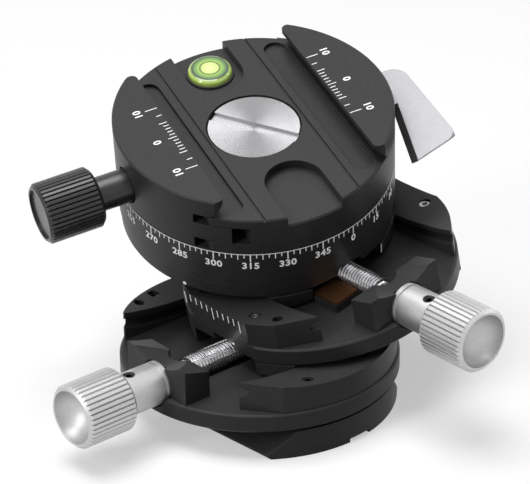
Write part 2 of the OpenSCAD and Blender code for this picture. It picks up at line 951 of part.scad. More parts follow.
module centre_screw() {
    color(silver)
        head_frame()
            difference() {
                union() {
                    translate([0, 0, centre_top_z - centre_head_h])
                        cylinder(r = centre_screw_r, h = centre_head_h);
                    translate([0, 0, spindle_top_z - 5.5])
                        cylinder(r = centre_shank_r, h = centre_top_z - centre_head_h - spindle_top_z + 6);
                }
                rotate([0, 0, centre_slot_turn])
                    translate([-far, -centre_slot_w / 2, centre_top_z - centre_slot_h])
                        cube([2 * far, centre_slot_w, far]);
            }
}

// Clamp, carried by the pan

// The whole round of the drum, from its foot to the tops of the jaws
module drum_round() {
    translate([0, 0, drum_z]) rim_disc(body_r, jaw_top_z - drum_z, seam_chamfer, rim_chamfer);
}

// What is taken off the ends of both jaws
module jaw_tips() {
    jaw_h = jaw_top_z - floor_z;
    both_sides() {
        translate([-far, jaw_tip_y, floor_z]) cube([2 * far, far, far]);
        translate([lip_x + tip_round, jaw_tip_y - tip_round, floor_z]) corner_cut(tip_round, jaw_h, 90);
        translate([-lip_x - tip_round, jaw_tip_y - tip_round, floor_z]) corner_cut(tip_round, jaw_h, 0);
    }
}

// Pockets, round-ended slots and lines in the clamp's floor
module floor_cuts() {
    both_sides() {
        translate([0, pocket_y, pocket_z]) cylinder(r = pocket_r, h = far);
        translate([-pocket_r, pocket_y, pocket_z]) cube([2 * pocket_r, far, far]);
    }
    for (side = [-1, 1]) {
        translate([side * line_x - line_w / 2, -far, floor_z - line_h]) cube([line_w, 2 * far, far]);
        translate([side * slot_mid_x - slot_r, -slot_half_y, floor_z - slot_h])
            cube([2 * slot_r, 2 * slot_half_y, slot_h + eps]);
        for (end = [-1, 1])
            translate([side * slot_mid_x, end * slot_half_y, floor_z - slot_h])
                cylinder(r = slot_r, h = slot_h + eps);
    }
}

// Chamfer of the rim at a height, within a distance of the middle
module rim_break(z, half_w) {
    reach = 1;
    intersection() {
        translate([-half_w, -far, 0]) cube([2 * half_w, 2 * far, far]);
        rotate_extrude()
            polygon([
                [body_r - rim_chamfer - eps, z + eps],
                [body_r + reach, z + eps],
                [body_r + reach, z - rim_chamfer - reach]
            ]);
    }
}

module clamp_body() {
    color(black)
        clamp_frame()
            difference() {
                drum_round();
                // Channel with the fixed jaw's undercut
                rotate([90, 0, 0])
                    linear_extrude(height = far, center = true)
                        polygon([
                            [-far, floor_z], [jaw_foot_x, floor_z], [lip_x, floor_z + jaw_undercut],
                            [lip_x, far], [-far, far]
                        ]);
                // Room for the moving jaw and its tongue
                translate([-far, -far, jaw_seam_z]) cube([far - ledge_x, 2 * far, far]);
                translate([-far, -far, slot_low_z]) cube([far - slot_x, 2 * far, slot_high_z - slot_low_z]);
                jaw_tips();
                floor_cuts();
                rim_break(floor_z, lip_x);
                rim_break(pocket_z, pocket_r);
                // Clamp screw
                translate([0, 0, clamp_screw_z]) bar_x(clamp_screw_r + shaft_clear, -far, clamp_screw_room);
                // Spindle and centre screw
                translate([0, 0, drum_z - eps])
                    cylinder(r = spindle_r + shaft_clear, h = spindle_top_z - drum_z + run_clear);
                translate([0, 0, drum_z]) cylinder(r = centre_shank_r + shaft_clear, h = far);
                translate([0, 0, centre_top_z - centre_head_h])
                    cylinder(r = centre_screw_r + run_clear, h = far);
                // Bubble level
                translate([0, level_y, level_z]) cylinder(r = level_r + seat_clear, h = far);
                // Lever shaft and brake shoe
                translate([0, lever_y, lever_z]) bar_x(lever_shaft_r + shaft_clear, spindle_r, far);
                translate([0, lever_y - shoe_w / 2 - seat_clear, lever_z - shoe_drop])
                    cube([spindle_r + shoe_out + shoe_room, shoe_w + 2 * seat_clear, shoe_h + shoe_room]);
            }
}

module brake_shoe() {
    color(bronze)
        clamp_frame()
            difference() {
                translate([spindle_r - shoe_in, lever_y - shoe_w / 2, lever_z - shoe_drop])
                    cube([shoe_in + shoe_out, shoe_w, shoe_h]);
                translate([0, 0, drum_z]) cylinder(r = spindle_r + run_clear, h = far);
            }
}

module level_ring() {
    color(dark)
        clamp_frame()
            translate([0, level_y, level_z])
                difference() {
                    cylinder(r = level_r, h = level_h);
                    translate([0, 0, level_foot]) cylinder(r = level_r - level_wall, h = far);
                }
}

module level_vial() {
    vial_r = level_r - level_wall - seat_clear;
    top_corner = [vial_r - vial_round, vial_h - vial_round];
    color(vial_green)
        clamp_frame()
            translate([0, level_y, level_z + level_foot])
                rotate_extrude()
                    polygon(concat(
                        [[0, 0], [vial_r, 0]],
                        [for (a = [0 : 15 : 90]) top_corner + vial_round * [cos(a), sin(a)]],
                        [[0, vial_h]]
                    ));
}

// Moving jaw with its clamp screw and knob

module moving_jaw() {
    color(black)
        clamp_frame()
            difference() {
                intersection() {
                    drum_round();
                    rotate([90, 0, 0])
                        linear_extrude(height = far, center = true)
                            polygon([
                                [-far, jaw_seam_z + jaw_clear],
                                [-skirt_x, jaw_seam_z + jaw_clear],
                                [-skirt_x, slot_low_z + jaw_clear],
                                [-tongue_x, slot_low_z + jaw_clear],
                                [-tongue_x, slot_high_z - jaw_clear],
                                [-skirt_x, slot_high_z - jaw_clear],
                                [-skirt_x, floor_z + jaw_clear],
                                [-jaw_foot_x, floor_z + jaw_clear],
                                [-lip_x, floor_z + jaw_clear + jaw_undercut],
                                [-lip_x, jaw_top_z],
                                [-far, jaw_top_z]
                            ]);
                }
                translate([0, 0, clamp_screw_z]) bar_x(clamp_screw_r + shaft_clear, -far, 0);
                translate([0, 0, clamp_screw_z]) bar_x(clamp_neck_r + run_clear, -far, -body_r + 1.6);
                jaw_tips();
            }
}

module clamp_knob() {
    in_x = body_r - 1.3;
    color(dark)
        clamp_frame()
            translate([-in_x, 0, clamp_screw_z])
                rotate([0, -90, 0])
                    difference() {
                        union() {
                            cylinder(r = clamp_neck_r, h = clamp_neck_len + eps);
                            translate([0, 0, clamp_neck_len]) grip(clamp_knob_r, clamp_knob_len, knob_flutes);
                        }
                        translate([0, 0, -eps]) cylinder(r = clamp_screw_r + seat_clear, h = clamp_neck_len);
                        translate([0, 0, clamp_neck_len + clamp_knob_len - 0.5])
                            cylinder(r = clamp_knob_r - 1.2, h = 1);
                    }
}

module clamp_screw() {
    color(steel)
        clamp_frame()
            translate([0, 0, clamp_screw_z])
                bar_x(clamp_screw_r, -body_r + 1.3 - clamp_neck_len + 0.5, clamp_screw_tip);
}

// Pan lock lever

module lever_hub_frame() {
    translate([0, lever_y, lever_z]) children();
}

module pan_lever() {
    color(silver) clamp_frame() lever_hub_frame() lever_shape();
}

module lever_shape() {
    hub_r = 4.2;
    hub_x = body_r + run_clear;
    hub_len = 3;
    hub_wall = 0.8;
    paddle_x = hub_x + run_clear + lever_t * sin(lever_slope);
    paddle_z = 1.6;
    difference() {
        union() {
            bar_x(hub_r, hub_x, hub_x + hub_len);
            translate([paddle_x, 0, paddle_z]) rotate([0, -lever_slope, 0]) paddle(hub_r);
        }
        bar_x(lever_shaft_r + seat_clear, 0, hub_x + hub_len - hub_wall);
    }
}

// The lever's paddle with its tip along -Y: its long edge is slanted and its tip thin
module paddle(neck_y) {
    corner = 2.2;
    shoulder = 5;
    back_y = 2;
    taper = 3.1;
    outer = lever_w - taper;
    bevel = 1.7;
    tip_bevel = 2.4;
    tip_h = lever_t * 0.85;
    edge_start = [0.4, -8];
    edge_end = [-3.7, -lever_len];
    edge_turn = atan((edge_start[0] - edge_end[0]) / (edge_start[1] - edge_end[1]));
    difference() {
        linear_extrude(height = lever_t)
            polygon([
                [0, back_y], [0, -neck_y], edge_start - [bevel, 0],
                edge_end - [bevel, 0], [outer, -lever_len], [outer, back_y]
            ]);
        translate([outer - corner, corner - lever_len, -eps]) corner_cut(corner, lever_t, 270);
        translate([outer - shoulder, back_y - shoulder, -eps]) corner_cut(shoulder, lever_t, 0);
        translate([edge_start[0], edge_start[1], 0])
            rotate([0, 0, -edge_turn]) edge_prism(bevel * cos(edge_turn), lever_t, lever_len);
        translate([-far / 2, -lever_len, 0])
            rotate([90, 0, 90])
                linear_extrude(height = far)
                    polygon([
                        [-tip_bevel, -eps], [tip_bevel, -eps], [0, tip_h], [-tip_bevel, tip_h]
                    ]);
    }
}

// What a slanted edge leaves free beside a plate, along -Y
module edge_prism(bevel, h, length) {
    run = bevel / h;
    rotate([90, 0, 0])
        linear_extrude(height = length)
            polygon([
                [-bevel - run * eps, -eps], [run * eps, h + eps], [-4 * bevel, h + eps], [-4 * bevel, -eps]
            ]);
}

// Rounds one corner of a plate: a square corner less a round one, turned to face the corner
module corner_cut(r, h, turn) {
    rotate([0, 0, turn])
        difference() {
            cube([2 * r, 2 * r, h + 2 * eps]);
            translate([0, 0, -eps]) cylinder(r = r, h = h + 4 * eps);
        }
}

module pan_lever_shaft() {
    color(steel)
        clamp_frame()
            lever_hub_frame()
                bar_x(lever_shaft_r, spindle_r + shoe_out + run_clear, body_r + run_clear + 2.2);
}

base_plate();
lower_stage_disc();
lower_front_rail();
lower_back_rail();
lower_worm_block();
lower_worm_bush();
lower_tail_bush();
lower_screws();
lower_knob();
lower_worm();
lower_worm_shaft();
lower_set_screw();
lower_saddle();
lower_rack();
upper_stage_disc();
upper_left_rail();
upper_right_rail();
upper_worm_block();
upper_worm_bush();
upper_tail_bush();
upper_screws();
bronze_pad();
upper_knob();
upper_worm();
upper_worm_shaft();
upper_set_screw();
upper_saddle();
upper_rack();
pan_seat();
pan_spindle();
centre_screw();
clamp_body();
brake_shoe();
level_ring();
level_vial();
moving_jaw();
clamp_knob();
clamp_screw();
pan_lever();
pan_lever_shaft();
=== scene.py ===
import math

import bpy
from mathutils import Matrix, Vector


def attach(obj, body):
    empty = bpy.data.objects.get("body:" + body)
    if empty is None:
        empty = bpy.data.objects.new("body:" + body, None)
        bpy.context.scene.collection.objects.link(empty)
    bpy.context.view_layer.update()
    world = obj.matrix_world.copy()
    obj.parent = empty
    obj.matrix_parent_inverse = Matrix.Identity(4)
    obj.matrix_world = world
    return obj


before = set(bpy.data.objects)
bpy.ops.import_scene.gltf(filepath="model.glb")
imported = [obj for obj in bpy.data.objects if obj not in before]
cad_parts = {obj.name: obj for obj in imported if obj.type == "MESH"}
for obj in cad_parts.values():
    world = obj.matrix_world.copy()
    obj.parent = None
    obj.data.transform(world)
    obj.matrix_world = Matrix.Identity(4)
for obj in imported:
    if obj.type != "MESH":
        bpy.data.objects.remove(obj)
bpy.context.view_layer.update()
scene = bpy.context.scene
scene.view_settings.view_transform = "Standard"

# Sizes of the part, lengths in millimetres
MM = 0.001
TILT = math.radians(12)
PAN = math.radians(16.5)
BODY_R = 29.0
LOWER_Z = 6.45
STAGE_PITCH = 11.25
UPPER_Z = LOWER_Z + STAGE_PITCH
SEAT_Z = UPPER_Z + STAGE_PITCH
PIVOT_H = 95.2
JAW_TOP_Z = 54.55
LIP_X = 16.8
SCALE_FLAT_Y = 27.2
SEAT_R = 28.7
RAIL_R = 28.5
RAIL_TOP_R = 86.3
LEVEL_Y = 21.5
VIAL_R = 4.68

# Height of the painted marks above the surface under them
PROUD = 0.03


# Frames of the stages, as the part's source has them

def turn_about(z, axis, angle):
    turn = Matrix.Rotation(angle, 4, axis)
    return Matrix.Translation((0, 0, z)) @ turn @ Matrix.Translation((0, 0, -z))


QUARTER_TURN = math.radians(90)
LOWER = Matrix.Translation((0, 0, LOWER_Z))
CROSS = turn_about(LOWER_Z + PIVOT_H, "Y", -TILT)
UPPER = CROSS @ Matrix.Translation((0, 0, UPPER_Z)) @ Matrix.Rotation(QUARTER_TURN, 4, "Z")
HEAD = CROSS @ turn_about(UPPER_Z + PIVOT_H, "X", TILT)
CLAMP = HEAD @ Matrix.Rotation(-PAN, 4, "Z")
LEVEL_FRAME = CLAMP @ Matrix.Translation((0, LEVEL_Y, 0))

# Turns a frame's Z axis onto its X axis, along which the worms and the clamp screw lie
ALONG_X = Matrix.Rotation(QUARTER_TURN, 4, "Y")


# Materials

# Scales of the noises, and depths of the reliefs in metres
TONE_SCALE = 2600
CLOUD_SCALE = 420
GRAIN_SCALE = 9000
TURNED_CLOUD_SCALE = 500
FLUID_CLOUD_SCALE = 700
PAINT_SCALE = 3000
GRAIN_DEPTH = 0.00002
RING_DEPTH = 0.00001

# Radii of edges that catch the light, in millimetres
EDGE = 0.22
KNURL_EDGE = 0.1
SCREW_EDGE = 0.08
EDGE_SAMPLES = 6


def new_material(name):
    mat = bpy.data.materials.new(name)
    mat.use_nodes = True
    nodes = mat.node_tree.nodes
    return mat, nodes, mat.node_tree.links, nodes["Principled BSDF"]


def object_coords(nodes, links, matrix=None):
    """Object coordinates in metres, or in a frame of the part where a matrix is given."""
    coords = nodes.new("ShaderNodeTexCoord")
    if matrix is None:
        return coords.outputs["Object"]
    back = (Matrix.Scale(MM, 4) @ matrix @ Matrix.Scale(1 / MM, 4)).inverted()
    mapping = nodes.new("ShaderNodeMapping")
    mapping.inputs["Location"].default_value = back.to_translation()
    mapping.inputs["Rotation"].default_value = back.to_euler()
    links.new(coords.outputs["Object"], mapping.inputs["Vector"])
    return mapping.outputs["Vector"]


def noise(nodes, links, vector, scale, detail=2.0, roughness=0.5):
    tex = nodes.new("ShaderNodeTexNoise")
    tex.inputs["Scale"].default_value = scale
    tex.inputs["Detail"].default_value = detail
    tex.inputs["Roughness"].default_value = roughness
    links.new(vector, tex.inputs["Vector"])
    return tex.outputs["Fac"]


def ramp(nodes, links, value, stops):
    node = nodes.new("ShaderNodeValToRGB")
    elements = node.color_ramp.elements
    while len(elements) < len(stops):
        elements.new(0.5)
    for element, (place, colour) in zip(elements, stops):
        element.position = place
        element.color = (*colour, 1.0)
    links.new(value, node.inputs["Fac"])
    return node.outputs["Color"]


def to_range(nodes, links, value, low, high):
    node = nodes.new("ShaderNodeMapRange")
    node.inputs["To Min"].default_value = low
    node.inputs["To Max"].default_value = high
    links.new(value, node.inputs["Value"])
    return node.outputs["Result"]


def bump(nodes, links, height, strength, distance, shader, edge=0.0):
    """Small relief on a surface; with an edge radius its sharp edges catch the light."""
    node = nodes.new("ShaderNodeBump")
    node.inputs["Strength"].default_value = strength
    node.inputs["Distance"].default_value = distance
    links.new(height, node.inputs["Height"])
    if edge:
        bevel = nodes.new("ShaderNodeBevel")
        bevel.samples = EDGE_SAMPLES
        bevel.inputs["Radius"].default_value = edge * MM
        links.new(bevel.outputs["Normal"], node.inputs["Normal"])
    links.new(node.outputs["Normal"], shader.inputs["Normal"])


def anodised(name, dark, light, roughness, grain, edge, metallic=0.0, specular=0.5):
    """Bead-blasted and anodised aluminium: fine grain, slow changes of tone, broken edges."""
    mat, nodes, links, shader = new_material(name)
    coords = object_coords(nodes, links)
    tone = noise(nodes, links, coords, TONE_SCALE, 4.0, 0.75)
    colour = ramp(nodes, links, tone, [(0.3, dark), (0.7, light)])
    links.new(colour, shader.inputs["Base Color"])
    cloud = noise(nodes, links, coords, CLOUD_SCALE, 3.0, 0.6)
    links.new(to_range(nodes, links, cloud, *roughness), shader.inputs["Roughness"])
    shader.inputs["Metallic"].default_value = metallic
    shader.inputs["Specular IOR Level"].default_value = specular
    relief = noise(nodes, links, coords, GRAIN_SCALE, 1.0)
    bump(nodes, links, relief, grain, GRAIN_DEPTH, shader, edge)
    return mat


def turned_metal(name, matrix, colour, rings, roughness, ring_strength, mottle=0.12):
    """Lathe-turned metal: fine rings about an axis, given by a frame whose Z is that axis."""
    mat, nodes, links, shader = new_material(name)
    coords = object_coords(nodes, links, matrix)
    wave = nodes.new("ShaderNodeTexWave")
    wave.wave_type = "RINGS"
    wave.rings_direction = "Z"
    wave.inputs["Scale"].default_value = rings
    wave.inputs["Distortion"].default_value = 0.4
    wave.inputs["Detail"].default_value = 2.0
    wave.inputs["Detail Scale"].default_value = 3.0
    links.new(coords, wave.inputs["Vector"])
    plain = object_coords(nodes, links)
    cloud = noise(nodes, links, plain, TURNED_CLOUD_SCALE, 3.0, 0.6)
    paler = tuple(min(1.0, c * (1 + mottle)) for c in colour)
    darker = tuple(c * (1 - mottle) for c in colour)
    tone = ramp(nodes, links, cloud, [(0.3, darker), (0.7, paler)])
    links.new(tone, shader.inputs["Base Color"])
    ring = wave.outputs["Fac"]
    links.new(to_range(nodes, links, ring, *roughness), shader.inputs["Roughness"])
    shader.inputs["Metallic"].default_value = 1.0
    bump(nodes, links, ring, ring_strength, RING_DEPTH, shader)
    return mat


def turned_face(name, matrix, colour, rings):
    """Lathe-turned face whose highlights fan out from its axis, the Z axis of the frame given."""
    mat = turned_metal(name, matrix, colour, rings, (0.24, 0.32), 0.2, mottle=0.03)
    nodes, links = mat.node_tree.nodes, mat.node_tree.links
    shader = nodes["Principled BSDF"]
    offset = nodes.new("ShaderNodeVectorMath")
    offset.operation = "SUBTRACT"
    offset.inputs[1].default_value = matrix.to_translation() * MM
    links.new(object_coords(nodes, links), offset.inputs[0])
    around = nodes.new("ShaderNodeVectorMath")
    around.operation = "CROSS_PRODUCT"
    around.inputs[0].default_value = matrix.to_3x3() @ Vector((0, 0, 1))
    links.new(offset.outputs["Vector"], around.inputs[1])
    to_world = nodes.new("ShaderNodeVectorTransform")
    to_world.vector_type = "VECTOR"
    to_world.convert_from = "OBJECT"
    to_world.convert_to = "WORLD"
    links.new(around.outputs["Vector"], to_world.inputs["Vector"])
    links.new(to_world.outputs["Vector"], shader.inputs["Tangent"])
    shader.inputs["Anisotropic"].default_value = 0.85
    return mat


# Colours of the level from its middle to its rim: pale bubble with a painted highlight in its middle,
# dark ring, fluid darkening outwards in painted shade, a painted dark reflection at the edge, a
# painted highlight on the rim
LEVEL_STOPS_WITH_PAINTED_LIGHT = [
    (0.0, (0.80, 0.90, 0.42)), (0.40, (0.66, 0.84, 0.22)), (0.47, (0.03, 0.07, 0.02)),
    (0.53, (0.36, 0.58, 0.08)), (0.70, (0.14, 0.30, 0.08)), (0.84, (0.015, 0.04, 0.02)),
    (0.95, (0.50, 0.70, 0.14))]
LEVEL_UNEVEN = 0.04
# The level's fluid glows a little though it is no lamp: painted light
LEVEL_PAINTED_GLOW = 0.12


def level_fluid(name, matrix, radius):
    """A clear puck of green fluid, with a bubble in a ring, about the Z axis of the frame given; its
    colours carry painted highlights, shade and reflection, and it glows a little as painted light.
    """
    mat, nodes, links, shader = new_material(name)
    coords = object_coords(nodes, links, matrix)
    parts = nodes.new("ShaderNodeSeparateXYZ")
    links.new(coords, parts.inputs["Vector"])
    flat = nodes.new("ShaderNodeCombineXYZ")
    links.new(parts.outputs["X"], flat.inputs["X"])
    links.new(parts.outputs["Y"], flat.inputs["Y"])
    distance = nodes.new("ShaderNodeVectorMath")
    distance.operation = "LENGTH"
    links.new(flat.outputs["Vector"], distance.inputs[0])
    share = nodes.new("ShaderNodeMath")
    share.operation = "DIVIDE"
    share.inputs[1].default_value = radius * MM
    links.new(distance.outputs["Value"], share.inputs[0])
    cloudy = nodes.new("ShaderNodeMath")
    cloudy.operation = "MULTIPLY_ADD"
    cloudy.inputs[1].default_value = LEVEL_UNEVEN
    links.new(noise(nodes, links, coords, FLUID_CLOUD_SCALE), cloudy.inputs[0])
    links.new(share.outputs["Value"], cloudy.inputs[2])
    colour = ramp(nodes, links, cloudy.outputs["Value"], LEVEL_STOPS_WITH_PAINTED_LIGHT)
    links.new(colour, shader.inputs["Base Color"])
    # The fluid glows in its own colour: painted light
    links.new(colour, shader.inputs["Emission Color"])
    shader.inputs["Emission Strength"].default_value = LEVEL_PAINTED_GLOW
    shader.inputs["Roughness"].default_value = 0.12
    shader.inputs["Coat Weight"].default_value = 1.0
    shader.inputs["Coat Roughness"].default_value = 0.03
    return mat


def painted(name, colour, roughness, glow):
    """Bright paint of a mark, slightly uneven, glowing a little as painted light."""
    mat, nodes, links, shader = new_material(name)
    coords = object_coords(nodes, links)
    tone = noise(nodes, links, coords, PAINT_SCALE)
    worn = tuple(c * 0.82 for c in colour)
    paint = ramp(nodes, links, tone, [(0.35, worn), (0.65, colour)])
    links.new(paint, shader.inputs["Base Color"])
    links.new(paint, shader.inputs["Emission Color"])
    shader.inputs["Emission Strength"].default_value = glow
    shader.inputs["Roughness"].default_value = roughness
    return mat


WORM_STEEL = (0.86, 0.86, 0.87)
black = anodised("black_anodised", (0.030, 0.030, 0.031), (0.050, 0.050, 0.051),
                 roughness=(0.34, 0.44), grain=0.5, edge=EDGE, specular=0.15)
# A lighter, slightly glossier copy of the black anodised for the rails, worm blocks and level ring:
# painted light for their lit tops
dark = anodised("dark_anodised", (0.034, 0.034, 0.035), (0.054, 0.054, 0.055),
                roughness=(0.32, 0.42), grain=0.5, edge=EDGE, specular=0.15)
grip_black = anodised("grip_black", (0.016, 0.016, 0.017), (0.028, 0.028, 0.029),
                      roughness=(0.24, 0.32), grain=0.3, edge=KNURL_EDGE)
silver = anodised("silver_anodised", (0.48, 0.48, 0.48), (0.58, 0.58, 0.58),
                  roughness=(0.42, 0.52), grain=0.2, edge=KNURL_EDGE, metallic=1.0)
pale_silver = anodised("lever_silver", (0.26, 0.26, 0.27), (0.32, 0.32, 0.33),
                       roughness=(0.46, 0.56), grain=0.2, edge=EDGE, metallic=1.0)
black_steel = anodised("black_oxide", (0.02, 0.02, 0.021), (0.035, 0.035, 0.037),
                       roughness=(0.28, 0.4), grain=0.1, edge=SCREW_EDGE, metallic=0.6)
steel_screw = turned_face("turned_screw", HEAD, (0.36, 0.36, 0.37), rings=9000)
steel_lower = turned_metal("lower_worm_steel", LOWER @ ALONG_X, WORM_STEEL,
                           rings=7000, roughness=(0.16, 0.26), ring_strength=0.1)
steel_upper = turned_metal("upper_worm_steel", UPPER @ ALONG_X, WORM_STEEL,
                           rings=7000, roughness=(0.16, 0.26), ring_strength=0.1)
steel_clamp = turned_metal("clamp_steel", CLAMP @ ALONG_X, (0.72, 0.72, 0.74),
                           rings=7000, roughness=(0.2, 0.3), ring_strength=0.1)
bronze = turned_metal("machined_bronze", LOWER, (0.40, 0.19, 0.09),
                      rings=5000, roughness=(0.28, 0.42), ring_strength=0.15)
bright_screw = anodised("screw_steel", (0.34, 0.34, 0.35), (0.44, 0.44, 0.45),
                        roughness=(0.22, 0.32), grain=0.1, edge=SCREW_EDGE, metallic=1.0)
# The white marks glow a little though they are no lamp: painted light
white = painted("white_marks", (0.88, 0.88, 0.87), roughness=0.5, glow=0.35)
fluid = level_fluid("level_fluid", LEVEL_FRAME, VIAL_R)

NODE_MATERIALS = {
    "base_plate": black, "lower_stage_disc": black, "upper_stage_disc": black,
    "lower_saddle": black, "upper_saddle": black, "pan_seat": black,
    "clamp_body": black, "moving_jaw": black, "clamp_knob": grip_black,
    # The rails, worm blocks and level ring take the lit copy of the black anodised, as painted light
    "lower_front_rail": dark, "lower_back_rail": dark,
    "upper_left_rail": dark, "upper_right_rail": dark,
    "lower_worm_block": dark, "upper_worm_block": dark, "level_ring": dark,
    "lower_knob": silver, "upper_knob": silver, "pan_lever": pale_silver,
    "level_vial": fluid, "lower_screws": black_steel, "upper_screws": bright_screw,
    "lower_set_screw": black_steel, "upper_set_screw": black_steel,
    "lower_worm": steel_lower, "lower_worm_shaft": steel_lower,
    "upper_worm": steel_upper, "upper_worm_shaft": steel_upper,
    "pan_spindle": steel_screw, "centre_screw": steel_screw,
    "clamp_screw": steel_clamp, "pan_lever_shaft": steel_clamp,
    "lower_worm_bush": bronze, "lower_tail_bush": bronze,
    "upper_worm_bush": bronze, "upper_tail_bush": bronze,
    "lower_rack": bronze, "upper_rack": bronze, "bronze_pad": bronze, "brake_shoe": bronze,
}
for node_name, material in NODE_MATERIALS.items():
    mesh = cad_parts[node_name].data
    mesh.materials.clear()
    mesh.materials.append(material)


# Painted marks

class Marks:
    """Flat marks laid on a surface: a mark's u, v place is mapped to a point on it."""

    def __init__(self, surface):
        self.surface = surface
        self.verts = []
        self.faces = []

    def add(self, points, polygons):
        start = len(self.verts)
        self.verts += [self.surface(u, v) for u, v in points]
        self.faces += [[start + i for i in polygon] for polygon in polygons]

    def bar(self, u0, v0, u1, v1):
        self.add([(u0, v0), (u1, v0), (u1, v1), (u0, v1)], [(0, 1, 2, 3)])

    def line(self, start, end, width):
        (u0, v0), (u1, v1) = start, end
        length = math.hypot(u1 - u0, v1 - v0)
        du, dv = -(v1 - v0) / length * width / 2, (u1 - u0) / length * width / 2
        corners = [(u0 - du, v0 - dv), (u1 - du, v1 - dv), (u1 + du, v1 + dv), (u0 + du, v0 + dv)]
        self.add(corners, [(0, 1, 2, 3)])

    def dot(self, u, v, radius, sides=20):
        angles = [2 * math.pi * i / sides for i in range(sides)]
        ring = [(u + radius * math.cos(a), v + radius * math.sin(a)) for a in angles]
        self.add(ring, [tuple(range(sides))])

    def number(self, text, u, v, height, angle=0.0):
        points, polygons = number_shape(text, height)
        c, s = math.cos(angle), math.sin(angle)
        self.add([(u + c * x - s * y, v + s * x + c * y) for x, y in points], polygons)


SHAPES = {}
NUMBER_H = 1.75
STROKE_GAIN = 0.028
CURVE_STEPS = 3
LETTER_SPACE = 1.08


def number_shape(text, height):
    """Points and faces of a number, centred on the origin."""
    key = (text, height)
    if key not in SHAPES:
        curve = bpy.data.curves.new("number", "FONT")
        curve.body = text
        curve.size = 1.0
        curve.offset = STROKE_GAIN
        curve.resolution_u = CURVE_STEPS
        curve.space_character = LETTER_SPACE
        holder = bpy.data.objects.new("number", curve)
        scene.collection.objects.link(holder)
        bpy.context.view_layer.update()
        solved = holder.evaluated_get(bpy.context.evaluated_depsgraph_get())
        shape = bpy.data.meshes.new_from_object(solved)
        xs = [p.co.x for p in shape.vertices]
        ys = [p.co.y for p in shape.vertices]
        scale = height / (max(ys) - min(ys))
        mid_x, mid_y = (max(xs) + min(xs)) / 2, (max(ys) + min(ys)) / 2
        points = [((p.co.x - mid_x) * scale, (p.co.y - mid_y) * scale) for p in shape.vertices]
        polygons = [tuple(polygon.vertices) for polygon in shape.polygons]
        bpy.data.objects.remove(holder)
        bpy.data.curves.remove(curve)
        bpy.data.meshes.remove(shape)
        SHAPES[key] = (points, polygons)
    return SHAPES[key]


def make_piece(name, matrix, marks, body):
    """A white mesh of marks, in millimetres in a frame of the part, riding on a body."""
    piece_mesh = bpy.data.meshes.new(name)
    piece_mesh.from_pydata([(matrix @ Vector(v)) * MM for v in marks.verts], [], marks.faces)
    piece_mesh.materials.append(white)
    piece_mesh.update()
    piece = bpy.data.objects.new(name, piece_mesh)
    scene.collection.objects.link(piece)
    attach(piece, body)


def on_drum(radius):
    """u is the arc length round the drum and v the height."""
    def surface(u, v):
        angle = u / radius
        return (radius * math.cos(angle), radius * math.sin(angle), v)
    return surface


def on_plane(z):
    return lambda u, v: (u, v, z)


# Pan scale round the drum
DRUM_R = BODY_R + PROUD
SCALE_TOP = 41.35
ZERO_ANGLE = math.radians(-72.7)
RING_STEPS = 240
RING_HALF = 0.09
PAN_TICKS = 144
PAN_TICK_DEGREES = 2.5
TICKS_PER_NUMBER = 6
NUMBER_DEGREES = 15
NUMBER_DROP = 3.05
LONG_TICK, MIDDLE_TICK, SHORT_TICK = 2.0, 1.4, 1.0
WIDE_LINE, FINE_LINE = 0.26, 0.2

pan_marks = Marks(on_drum(DRUM_R))
for i in range(RING_STEPS):
    u0 = 2 * math.pi * DRUM_R * i / RING_STEPS
    u1 = 2 * math.pi * DRUM_R * (i + 1) / RING_STEPS
    pan_marks.bar(u0, SCALE_TOP - RING_HALF, u1, SCALE_TOP + RING_HALF)
for i in range(PAN_TICKS):
    u = DRUM_R * (ZERO_ANGLE + math.radians(PAN_TICK_DEGREES * i))
    numbered = i % TICKS_PER_NUMBER == 0
    drop = LONG_TICK if numbered else (SHORT_TICK if i % 2 else MIDDLE_TICK)
    width = WIDE_LINE if numbered else FINE_LINE
    pan_marks.bar(u - width / 2, SCALE_TOP - drop, u + width / 2, SCALE_TOP)
for degrees in range(0, 360, NUMBER_DEGREES):
    u = DRUM_R * (ZERO_ANGLE + math.radians(degrees))
    pan_marks.number(str(degrees), u, SCALE_TOP - NUMBER_DROP, NUMBER_H)
make_piece("pan_scale_marks", CLAMP, pan_marks, "clamp")


# Scales on the jaws: length of each line by its distance from the middle
JAW_TICKS = {10: 2.6, 7.5: 1.2, 5: 1.7, 4: 1.2, 3: 1.2, 2: 1.2, 1: 1.2, 0: 1.9}
JAW_LINE_X = LIP_X + 0.35
JAW_NUMBER_X = 21.5


def jaw_marks(name, side, body):
    marks = Marks(on_plane(JAW_TOP_Z + PROUD))
    for place, length in JAW_TICKS.items():
        for y in {place, -place}:
            marks.line((side * JAW_LINE_X, y), (side * (JAW_LINE_X + length), y), FINE_LINE)
    for y, text in ((10, "10"), (0, "0"), (-10, "10")):
        marks.number(text, side * JAW_NUMBER_X, y, NUMBER_H, -side * math.pi / 2)
    make_piece(name, CLAMP, marks, body)


jaw_marks("moving_jaw_marks", -1, "jaw")
jaw_marks("fixed_jaw_marks", 1, "clamp")


# Tilt scales at the outer sides of two rails
TILT_STEP = 1.7
TILT_MIDDLE = 2.0
TILT_SIDE_TICKS = 5
TILT_TOP_GAP = 0.2
TILT_LONG, TILT_SHORT = 2.9, 1.7
HALF_LINE = 0.13


